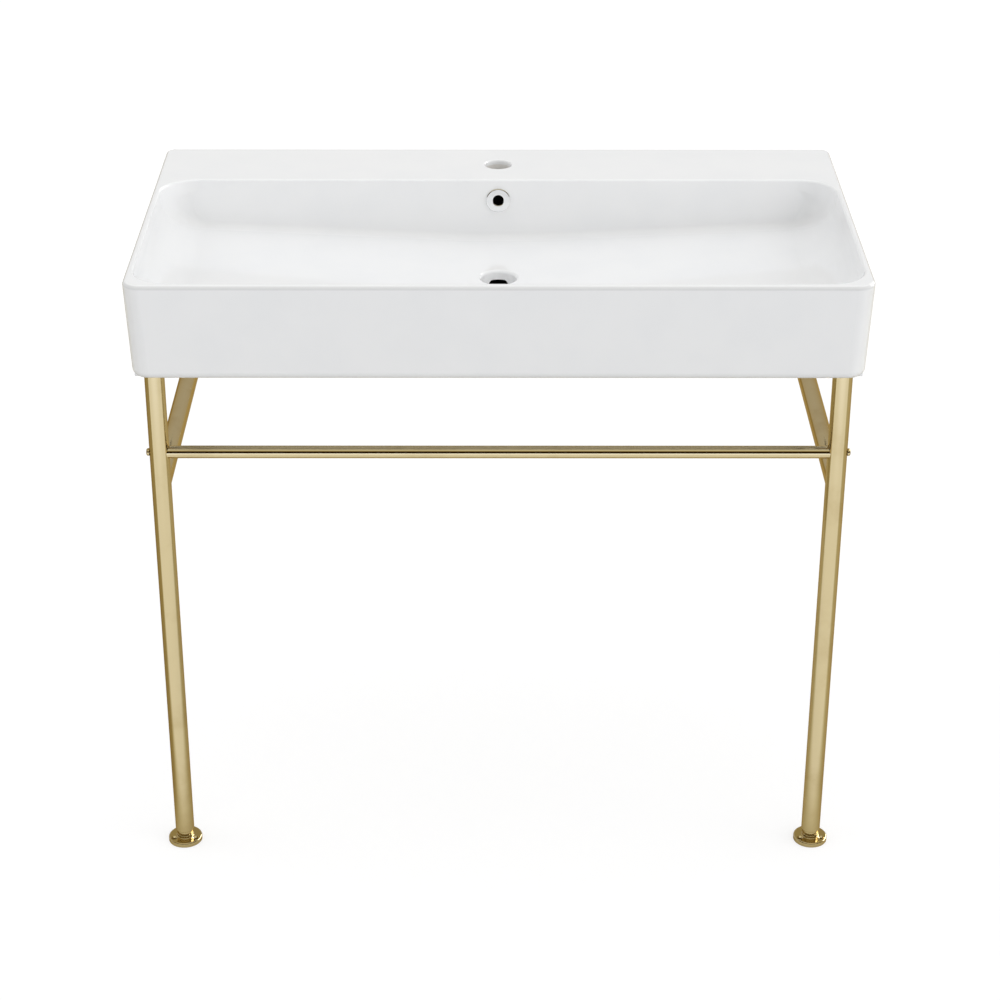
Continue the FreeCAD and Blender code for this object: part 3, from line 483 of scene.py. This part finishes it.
glazed_ceramic, tree = new_material("glazed_ceramic")
where, x, y, z = read_place(tree)
aside = calculate(tree, "ABSOLUTE", x)
from_drain = distance(tree, x, calculate(tree, "SUBTRACT", y, DRAIN_Y))
from_overflow = distance(tree, x, calculate(tree, "SUBTRACT", z, OVERFLOW_Z))
outside_drain = calculate(tree, "GREATER_THAN", from_drain, DRAIN_RADIUS)

# where the glaze stops: the back, the foot and the hollow underneath
bowl_ceiling = calculate(
    tree, "MULTIPLY_ADD", aside, CEILING_END_RISE / HOLLOW_HALF_WIDTH, CEILING_MIDDLE_Z)
under_deck = calculate(tree, "GREATER_THAN", y, DECK_FRONT_Y)
ceiling = blend_numbers(tree, under_deck, bowl_ceiling, DECK_CEILING_Z)
hollow = all_of(
    tree, calculate(tree, "LESS_THAN", aside, HOLLOW_HALF_WIDTH),
    between(tree, y, HOLLOW_FRONT_Y, HOLLOW_BACK_Y),
    calculate(tree, "LESS_THAN", z, ceiling), outside_drain)
bare = any_of(
    tree, hollow, calculate(tree, "GREATER_THAN", y, BACK_Y),
    calculate(tree, "LESS_THAN", z, FOOT_Z))

# the overflow's way down, painted near black as shadow: the hole behind the ring, the duct and its
# port in the drain hole
duct_shadow = any_of(
    tree,
    all_of(tree, calculate(tree, "LESS_THAN", aside, DUCT_HALF_WIDTH),
           between(tree, y, DUCT_FRONT_Y, DUCT_BACK_Y), between(tree, z, DUCT_FOOT_Z, DUCT_TOP_Z)),
    all_of(tree, calculate(tree, "LESS_THAN", aside, PORT_HALF_WIDTH), outside_drain,
           between(tree, y, DRAIN_Y, DUCT_BACK_Y), between(tree, z, DUCT_FOOT_Z, PORT_TOP_Z)),
    all_of(tree, calculate(tree, "LESS_THAN", from_overflow, OVERFLOW_RADIUS),
           between(tree, y, OVERFLOW_LIP_Y, DUCT_BACK_Y)))

# how far out a point is from the line through the corners' centres, for the painted edge shade
outward = distance(tree, excess(tree, aside, CORNER_X), excess(tree, CORNER_Y, y))
edge_shade = all_of(
    tree, smooth_step(tree, outward, EDGE_INNER, EDGE_OUTER),
    smooth_step(tree, z, EDGE_LOW_Z, EDGE_FULL_Z))

# the glaze's slow waves and fine peel, and the body's grain, both as heights in metres
wave = add_noise(tree, where, WAVE_SCALE, WAVE_DETAIL, GLAZE_UNEVENNESS)
peel = add_noise(tree, where, PEEL_SCALE, PEEL_DETAIL, GLAZE_UNEVENNESS)
pooled = smooth_step(tree, wave, POOLED_FROM, POOLED_FULL)
body = use_group(tree, fine_grain, Place=where, Fineness=BODY_GRAIN_SCALE)
glaze_skin = calculate(
    tree, "MULTIPLY_ADD", wave, WAVE_HEIGHT, calculate(tree, "MULTIPLY", peel, PEEL_HEIGHT))
body_skin = calculate(tree, "MULTIPLY", body.outputs["Grain"], BODY_GRAIN_HEIGHT)

glaze_colour = blend_colours(
    tree, edge_shade, blend_colours(tree, pooled, GLAZE_COLOUR, GLAZE_POOLED), EDGE_PAINTED_SHADE)
body_colour = blend_colours(tree, body.outputs["Mottle"], BODY_COLOUR, BODY_STAIN)
surface_colour = blend_colours(tree, bare, glaze_colour, body_colour)
glaze_roughness = calculate(tree, "MULTIPLY_ADD", pooled, GLAZE_HAZE, GLAZE_ROUGHNESS)
add_surface(
    tree,
    colour=blend_colours(tree, duct_shadow, surface_colour, DUCT_PAINTED_SHADOW),
    roughness=blend_numbers(tree, any_of(tree, bare, duct_shadow), glaze_roughness, BODY_ROUGHNESS),
    height=blend_numbers(tree, bare, glaze_skin, body_skin),
    depth=1.0)
paint("basin", glazed_ceramic)

# ---- overflow ring -------------------------------------------------------------------------------
# A turned brass ring with a short stub, plated with bright chrome. Its stub is pushed into a soft
# sleeve in the overflow hole, so that its face lies on the bowl's rear wall.

CHROME = {"colour": colour_of(0.94, 0.945, 0.95), "stain": colour_of(0.88, 0.885, 0.89),
          "edge_tint": WHITE, "roughness": 0.06}

# the fine lines that turning and polishing leave round a piece, and the smudges of handling
LINE_SCALE, LINE_DETAIL, LINE_UNEVENNESS, LINE_HEIGHT = 900.0, 3.0, 0.65, 4e-7
SMUDGE_SCALE, SMUDGE_DETAIL, SMUDGE_UNEVENNESS = 15.0, 4.0, 0.6
SMUDGE_FROM, SMUDGE_FULL = 0.48, 0.72
LINE_HAZE, SMUDGE_HAZE = 0.03, 0.06

polish_marks, entry, result = new_group(
    "polish_marks",
    (("Place", "NodeSocketVector"), ("Along", "NodeSocketFloat"), ("Away", "NodeSocketFloat")),
    (("Lines", "NodeSocketFloat"), ("Smudges", "NodeSocketFloat")))
pair = add_node(polish_marks, "ShaderNodeCombineXYZ")
lines = add_noise(polish_marks, pair.outputs[0], LINE_SCALE, LINE_DETAIL, LINE_UNEVENNESS,
                  noise_dimensions="2D")
smudges = add_noise(polish_marks, entry.outputs["Place"], SMUDGE_SCALE, SMUDGE_DETAIL,
                    SMUDGE_UNEVENNESS)
join(polish_marks,
     (entry.outputs["Along"], pair.inputs["X"]),
     (entry.outputs["Away"], pair.inputs["Y"]),
     (lines, result.inputs["Lines"]),
     (smooth_step(polish_marks, smudges, SMUDGE_FROM, SMUDGE_FULL), result.inputs["Smudges"]))


def middle(node_name):
    """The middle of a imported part's box."""
    low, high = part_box(node_name)
    return (Vector(low) + Vector(high)) / 2


def polished_metal(name, finish, axis, node_name):
    """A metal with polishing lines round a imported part's axis, and round its twin's across X."""
    centre = middle(node_name)
    material, tree = new_material(name)
    where, x, y, z = read_place(tree)
    offsets = {
        "X": calculate(tree, "SUBTRACT", calculate(tree, "ABSOLUTE", x), abs(centre.x)),
        "Y": calculate(tree, "SUBTRACT", y, centre.y),
        "Z": calculate(tree, "SUBTRACT", z, centre.z),
    }
    along = offsets.pop(axis)
    marks = use_group(
        tree, polish_marks, Place=where, Along=along, Away=distance(tree, *offsets.values()))
    hazed = calculate(tree, "MULTIPLY_ADD", marks.outputs["Lines"], LINE_HAZE, finish["roughness"])
    hazed = calculate(tree, "MULTIPLY_ADD", marks.outputs["Smudges"], SMUDGE_HAZE, hazed)
    add_surface(
        tree,
        colour=blend_colours(tree, marks.outputs["Smudges"], finish["colour"], finish["stain"]),
        roughness=hazed,
        height=marks.outputs["Lines"],
        depth=LINE_HEIGHT,
        Metallic=1.0,
        Specular_Tint=finish["edge_tint"])
    return material


paint("overflow_ring", polished_metal("chrome_trim", CHROME, "Y", "overflow_ring"))

# ---- overflow sleeve -----------------------------------------------------------------------------
# A short tube of soft white vinyl, moulded in one piece. It is pressed into the overflow hole,
# grips the ceramic by its own spring and holds the ring's stub.

WHITE_VINYL = {"colour": colour_of(0.74, 0.74, 0.71), "stain": colour_of(0.66, 0.66, 0.62),
               "roughness": 0.45, "fineness": 500.0, "grain_height": 1e-5}
GRAIN_HAZE = 0.15


def moulded(name, finish):
    """A moulded rubber or plastic, soft or hard, with a fine grain and faint mottling."""
    material, tree = new_material(name)
    where = add_node(tree, "ShaderNodeTexCoord").outputs["Object"]
    skin = use_group(tree, fine_grain, Place=where, Fineness=finish["fineness"])
    add_surface(
        tree,
        colour=blend_colours(tree, skin.outputs["Mottle"], finish["colour"], finish["stain"]),
        roughness=calculate(
            tree, "MULTIPLY_ADD", skin.outputs["Grain"], GRAIN_HAZE, finish["roughness"]),
        height=skin.outputs["Grain"],
        depth=finish["grain_height"])
    return material


paint("overflow_sleeve", moulded("soft_sleeve", WHITE_VINYL))

# ---- legs ----------------------------------------------------------------------------------------
# Round brass tube, 25 mm across, drilled for the towel bar's screw, then polished and plated a
# pale champagne gold.

CHAMPAGNE_GOLD = {"colour": colour_of(0.68, 0.585, 0.375), "stain": colour_of(0.62, 0.52, 0.32),
                  "edge_tint": colour_of(0.75, 0.60, 0.38), "roughness": 0.05}
SIDES = ("left", "right")


def paint_pair(part, material):
    """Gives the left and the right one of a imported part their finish."""
    for side in SIDES:
        paint(f"{part}_{side}", material)


paint_pair("leg", polished_metal("polished_brass_legs", CHAMPAGNE_GOLD, "Z", "leg_right"))

# ---- leg caps, pads and foot inserts -------------------------------------------------------------
# A black nylon cap closes each leg's top, with a disc of black rubber between it and the basin's
# seat, so that no metal bears on the ceramic. In the leg's lower end is an insert of the same
# nylon, which takes the levelling stud's thread.

BLACK_NYLON = {"colour": colour_of(0.055, 0.055, 0.058), "stain": colour_of(0.085, 0.085, 0.088),
               "roughness": 0.42, "fineness": 700.0, "grain_height": 1.5e-5}
BLACK_RUBBER = {"colour": grey(0.028), "stain": colour_of(0.050, 0.049, 0.047),
                "roughness": 0.72, "fineness": 1100.0, "grain_height": 3e-5}

nylon = moulded("nylon", BLACK_NYLON)
paint_pair("leg_cap", nylon)
paint_pair("leg_pad", moulded("rubber_pad", BLACK_RUBBER))
paint_pair("foot_insert", nylon)

# ---- levelling studs -----------------------------------------------------------------------------
# Zinc-plated steel studs with a rolled M10 thread. Each one's head turns in a recess under the
# foot's flange, and its thread runs in the insert in the leg's lower end.

ZINC_STEEL = {"colour": colour_of(0.60, 0.61, 0.62), "stain": colour_of(0.55, 0.545, 0.50),
              "edge_tint": colour_of(0.85, 0.87, 0.90), "roughness": 0.24}

# the head, and the plain neck that goes up through the flange and the collar
HEAD_RADIUS, HEAD_HEIGHT = 0.008, 0.0026
HEAD_BEVEL, HEAD_BEVEL_STEPS = 0.0005, 3
NECK_RADIUS = 0.00495

# the thread: its profile, how far it starts inside the neck and how far it ends below the top
THREAD_ROOT, THREAD_CREST = 0.00408, 0.00497
THREAD_PITCH = 0.0015
ROOT_FLAT, CREST_FLAT = THREAD_PITCH / 4, THREAD_PITCH / 8
THREAD_OVERLAP, THREAD_END_GAP = 0.0002, 0.0009

# the mesh: steps in a turn, and turns that are spun below the thread's foot, then cut off
STUD_STEPS = 32
RUN_IN_TURNS = 2
MERGE_WITHIN = THREAD_PITCH / 100
TOUCHING = 1e-6


def add_thread(work, foot_z, top_z):
    """A closed length of helical thread about Z, cut flat at its foot and its top."""
    flank = (THREAD_PITCH - ROOT_FLAT - CREST_FLAT) / 2
    heights = (0, ROOT_FLAT, ROOT_FLAT + flank, ROOT_FLAT + flank + CREST_FLAT, THREAD_PITCH)
    radii = (THREAD_ROOT, THREAD_ROOT, THREAD_CREST, THREAD_CREST, THREAD_ROOT)
    start_z = foot_z - THREAD_PITCH * RUN_IN_TURNS
    turns = math.ceil((top_z - start_z) / THREAD_PITCH)
    points = [work.verts.new((radius, 0, start_z + height))
              for radius, height in zip(radii, heights)]
    profile = [work.edges.new(pair) for pair in zip(points, points[1:])]
    bmesh.ops.spin(
        work, geom=points + profile, cent=(0, 0, 0), axis=(0, 0, 1), angle=math.tau * turns,
        dvec=(0, 0, THREAD_PITCH / STUD_STEPS), steps=STUD_STEPS * turns, use_merge=False)
    bmesh.ops.remove_doubles(work, verts=work.verts, dist=MERGE_WITHIN)
    for height, keep_above in ((foot_z, True), (top_z, False)):
        geometry = work.verts[:] + work.edges[:] + work.faces[:]
        bmesh.ops.bisect_plane(
            work, geom=geometry, plane_co=(0, 0, height), plane_no=(0, 0, 1),
            clear_inner=keep_above, clear_outer=not keep_above)
        rim = [edge for edge in work.edges if edge.is_boundary
               and all(abs(vert.co.z - height) < TOUCHING for vert in edge.verts)]
        bmesh.ops.holes_fill(work, edges=rim)


def levelling_stud(side):
    """A stud with its head, a plain neck through flange and collar, and its thread."""
    low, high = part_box(f"foot_stud_{side}")
    centre = middle(f"foot_stud_{side}")
    foot_z, top_z = low[2], high[2]
    neck_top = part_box(f"foot_collar_{side}")[1][2] - foot_z
    work = bmesh.new()
    add_thread(work, neck_top - THREAD_OVERLAP, top_z - foot_z - THREAD_END_GAP)

    # the head rises from a disc, and the neck from the disc inset on the head's top
    circle = bmesh.ops.create_circle(
        work, cap_ends=True, segments=STUD_STEPS * 2, radius=HEAD_RADIUS)
    disc = list({face for vert in circle["verts"] for face in vert.link_faces})
    for radius, rise in ((HEAD_RADIUS, HEAD_HEIGHT), (NECK_RADIUS, neck_top - HEAD_HEIGHT)):
        if radius < HEAD_RADIUS:
            bmesh.ops.inset_region(work, faces=disc, thickness=HEAD_RADIUS - radius)
        raised = bmesh.ops.extrude_face_region(work, geom=disc)
        tops = [item for item in raised["geom"] if isinstance(item, bmesh.types.BMVert)]
        bmesh.ops.translate(work, vec=(0, 0, rise), verts=tops)
        disc = [item for item in raised["geom"] if isinstance(item, bmesh.types.BMFace)]
    rims = [edge for edge in work.edges
            if all(abs(vert.co.xy.length - HEAD_RADIUS) < TOUCHING for vert in edge.verts)
            and abs(edge.verts[0].co.z - edge.verts[1].co.z) < TOUCHING]
    bmesh.ops.bevel(work, geom=rims, offset=HEAD_BEVEL, segments=HEAD_BEVEL_STEPS, profile=0.5,
                    affect="EDGES", material=-1)
    bmesh.ops.translate(work, vec=(centre.x, centre.y, foot_z), verts=work.verts)
    bmesh.ops.recalc_face_normals(work, faces=work.faces)
    return work


stud_zinc = polished_metal("zinc_steel_studs", ZINC_STEEL, "Z", "foot_stud_right")
for side in SIDES:
    stud = new_object(f"levelling_stud_{side}", levelling_stud(side), stud_zinc)
    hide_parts(f"foot_stud_{side}")
    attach(stud, f"{side}_stud")

# ---- collars and floor flanges -------------------------------------------------------------------
# Turned brass, polished and plated like the legs. The collar is pressed on the stud, and turning
# it by hand levels the sink. The flange has three countersunk holes for floor screws.

foot_gold = polished_metal("polished_brass_feet", CHAMPAGNE_GOLD, "Z", "foot_flange_right")
paint_pair("foot_collar", foot_gold)
paint_pair("foot_flange", foot_gold)

# ---- side rails and wall flanges -----------------------------------------------------------------
# The same tube as the legs, coped and brazed to them, reaches back to the wall. A turned flange's
# spigot goes into each rail, and a set screw of zinc-plated steel holds it from below.

rail_gold = polished_metal("polished_brass_rails", CHAMPAGNE_GOLD, "Y", "side_rail_right")
paint_pair("side_rail", rail_gold)
paint_pair("wall_flange", rail_gold)
paint_pair("rail_set_screw", polished_metal(
    "zinc_steel_set_screws", ZINC_STEEL, "Z", "rail_set_screw_right"))

# ---- towel bar and its screws --------------------------------------------------------------------
# A thinner brass tube between the legs, its ends coped to them. A cross-recessed screw through
# each leg runs into a threaded steel plug in the bar's end.

PLATED_SCREW = {"colour": colour_of(0.64, 0.535, 0.32), "stain": colour_of(0.55, 0.45, 0.26),
                "edge_tint": colour_of(0.72, 0.58, 0.36), "roughness": 0.10}

paint("towel_bar", polished_metal("polished_brass_bar", CHAMPAGNE_GOLD, "X", "towel_bar"))
paint_pair("bar_screw", polished_metal("plated_screw", PLATED_SCREW, "X", "bar_screw_right"))
paint_pair("bar_insert", polished_metal("zinc_steel_plugs", ZINC_STEEL, "X", "bar_insert_right"))
